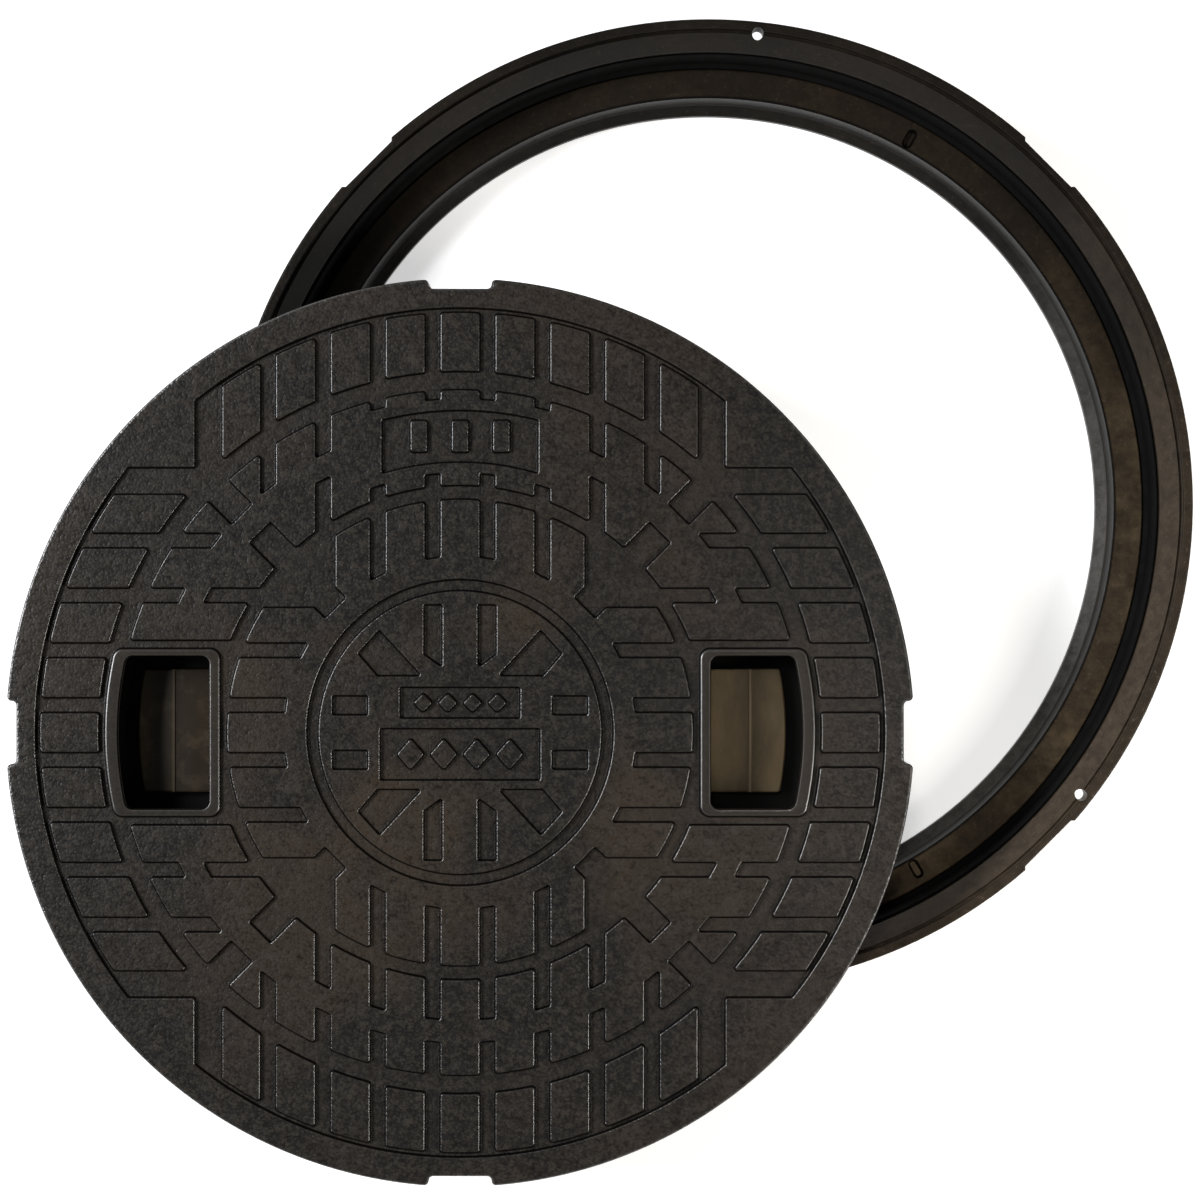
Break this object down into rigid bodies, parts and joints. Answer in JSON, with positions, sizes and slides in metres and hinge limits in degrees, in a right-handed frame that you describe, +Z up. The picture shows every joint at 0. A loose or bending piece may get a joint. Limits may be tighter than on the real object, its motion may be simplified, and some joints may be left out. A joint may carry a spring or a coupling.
{
  "type": "manhole cover",
  "caption": "Round moulded plastic inspection cover: a patterned lid with hand pockets, lying pushed aside on top of its open ring frame.",
  "frame": {"origin": "middle of the footprint of frame and displaced lid together, on the plane that the frame stands on", "axes": "+Z up, out of the ground; +X to the right and +Y away, seen from above with the lid at the near left and the open frame at the far right"},
  "size_m": [0.581, 0.5714, 0.0868],
  "materials": {
    "frame_plastic": "satin, dark brown-grey",
    "seal_rubber": "matt black",
    "lid_plastic": "leather-grained, charcoal",
    "cup_plastic": "satin, dark brown-grey"
  },
  "bodies": {
    "frame": {"frame_ring": "frame_plastic", "seal_ring": "seal_rubber"},
    "lid": {"lid": "lid_plastic", "right_pocket_cup": "cup_plastic", "left_pocket_cup": "cup_plastic"}
  },
  "joints": [
    {"name": "lid_lift", "type": "slide", "parent": "frame", "child": "lid", "axis": [0, 0, 1], "range_m": [0, 0.25]}
  ]
}
